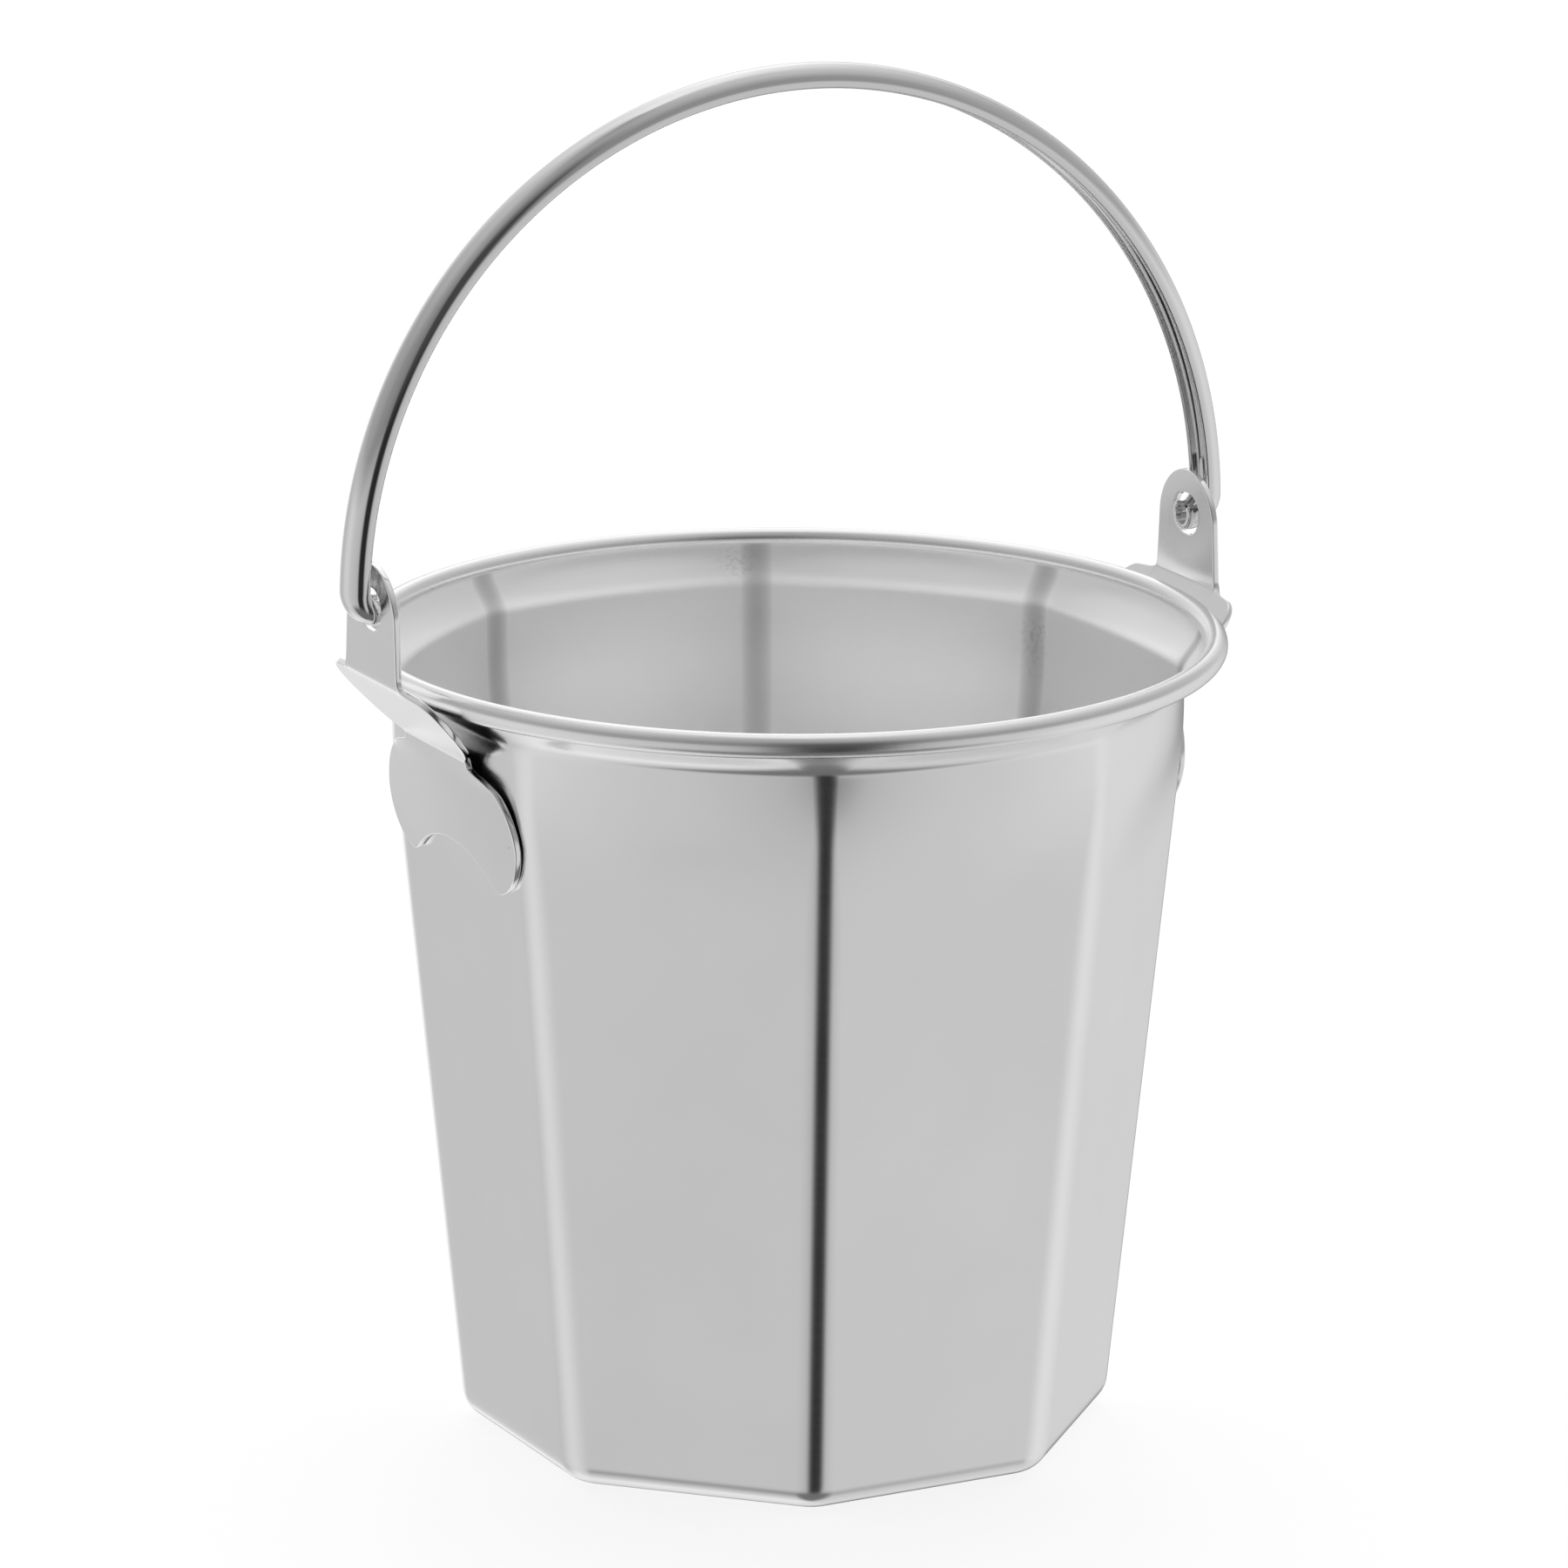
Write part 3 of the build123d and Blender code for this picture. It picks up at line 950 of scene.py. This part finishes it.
def blend(tree, share, below, above):
    """Mixes two colours; a Mix node's colours are its inputs 6 and 7 and its output 2."""
    mix = tree.nodes.new("ShaderNodeMix")
    mix.data_type = "RGBA"
    tree.links.new(share, mix.inputs[0])
    tree.links.new(below, mix.inputs[6])
    tree.links.new(above, mix.inputs[7])
    return mix.outputs[2]


def make_world():
    """White studio with soft walls of light and a dark gap on the photographer's side."""
    world = bpy.data.worlds.new("studio")
    bpy.context.scene.world = world
    world.use_nodes = True
    tree = world.node_tree
    tree.nodes.clear()
    direction = wire(tree, "ShaderNodeTexCoord").outputs["Generated"]
    facing = wire(
        tree,
        "ShaderNodeVectorRotate",
        {"Vector": direction, "Angle": math.pi / 2 - CAMERA_AZIMUTH},
        rotation_type="Z_AXIS",
    )
    parts = wire(tree, "ShaderNodeSeparateXYZ", {"Vector": facing.outputs["Vector"]}).outputs
    angle = maths(tree, "ARCTAN2", parts["Y"], parts["X"])
    turn = ranged(tree, angle, -math.pi, math.pi)
    level = around_studio(tree, turn, LEVEL_LIGHT)
    high = around_studio(tree, turn, HIGH_LIGHT)
    low = around_studio(tree, turn, LOW_LIGHT)
    top = around_studio(tree, turn, TOP_LIGHT)
    light = blend(tree, ranged(tree, parts["Z"], *HIGH_SPAN), level, high)
    light = blend(tree, ranged(tree, parts["Z"], *TOP_SPAN), light, top)
    light = blend(tree, ranged(tree, parts["Z"], *LOW_SPAN), light, low)
    studio = wire(tree, "ShaderNodeBackground", {"Color": light, "Strength": STUDIO_LEVEL})
    backdrop = wire(tree, "ShaderNodeBackground", {"Color": (1, 1, 1, 1)})
    mix = tree.nodes.new("ShaderNodeMixShader")
    seen = wire(tree, "ShaderNodeLightPath")
    tree.links.new(seen.outputs["Is Camera Ray"], mix.inputs["Fac"])
    tree.links.new(studio.outputs["Background"], mix.inputs[1])
    tree.links.new(backdrop.outputs["Background"], mix.inputs[2])
    output = tree.nodes.new("ShaderNodeOutputWorld")
    tree.links.new(mix.outputs["Shader"], output.inputs["Surface"])


def make_floor():
    half = FLOOR_HALF_WIDTH
    corners = [(-half, -half), (half, -half), (half, half), (-half, half)]
    floor = make_object("floor", [(x, y, FLOOR_HEIGHT) for x, y in corners], [(0, 1, 2, 3)])
    material = bpy.data.materials.new("studio_floor")
    material.use_nodes = True
    shader = material.node_tree.nodes["Principled BSDF"]
    shader.inputs["Base Color"].default_value = (FLOOR_TONE, FLOOR_TONE, FLOOR_TONE, 1)
    shader.inputs["Roughness"].default_value = 1.0
    shader.inputs["Specular IOR Level"].default_value = 0.0
    shader.inputs["Emission Color"].default_value = (1, 1, 1, 1)
    shader.inputs["Emission Strength"].default_value = FLOOR_GLOW
    floor.data.materials.append(material)
    floor.visible_glossy = False
    floor.visible_diffuse = False


def make_fill():
    """Soft light from a disk just over the mouth, shining down into the pail."""
    data = bpy.data.lights.new("mouth_fill", "AREA")
    data.shape = "DISK"
    data.size = 2 * FILL_RADIUS
    data.energy = FILL_LEVEL * math.pi * math.pi * FILL_RADIUS**2
    fill = bpy.data.objects.new("mouth_fill", data)
    fill.location = (0, 0, body_top.z + FILL_GAP)
    fill.visible_camera = False
    bpy.context.scene.collection.objects.link(fill)


def make_camera():
    flat = Vector((math.sin(CAMERA_AZIMUTH), -math.cos(CAMERA_AZIMUTH), 0))
    back = flat * math.cos(CAMERA_ELEVATION) + Vector((0, 0, math.sin(CAMERA_ELEVATION)))
    right = Vector((-flat.y, flat.x, 0))
    up = back.cross(right)
    tilted_right = right * math.cos(CAMERA_ROLL) + up * math.sin(CAMERA_ROLL)
    tilted_up = up * math.cos(CAMERA_ROLL) - right * math.sin(CAMERA_ROLL)
    data = bpy.data.cameras.new("camera")
    data.sensor_width = CAMERA_SENSOR
    data.lens = CAMERA_LENS
    data.clip_start, data.clip_end = 0.05, 50.0
    camera = bpy.data.objects.new("camera", data)
    axes = Matrix((tilted_right, tilted_up, back)).transposed().to_4x4()
    camera.matrix_world = Matrix.Translation(CAMERA_AIM + back * CAMERA_DISTANCE) @ axes
    bpy.context.scene.collection.objects.link(camera)
    bpy.context.scene.camera = camera


# ------------------------------------------------------------------ putting it together
make_camera()
make_world()
make_floor()
make_fill()
bpy.context.scene.view_settings.view_transform = "Standard"

body = make_body()
satin = steel("satin_steel", body_shade, body_roughness, body_height, BODY_BUMP)
body.data.materials.append(satin)
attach(body, "pail")
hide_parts("pail_body")

ear_steel = steel("ear_steel", ear_shade, ear_roughness, ear_height, EAR_BUMP)
for node, side in (("right_ear", 1), ("left_ear", -1)):
    ear = make_ear(node + "_sheet", side)
    ear.data.materials.append(ear_steel)
    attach(ear, "pail")
    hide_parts(node)

bail = make_bail()
polished = steel("polished_steel", bail_shade, bail_roughness, draw_lines, BAIL_BUMP)
bail.data.materials.append(polished)
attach(bail, "bail")
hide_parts("bail")
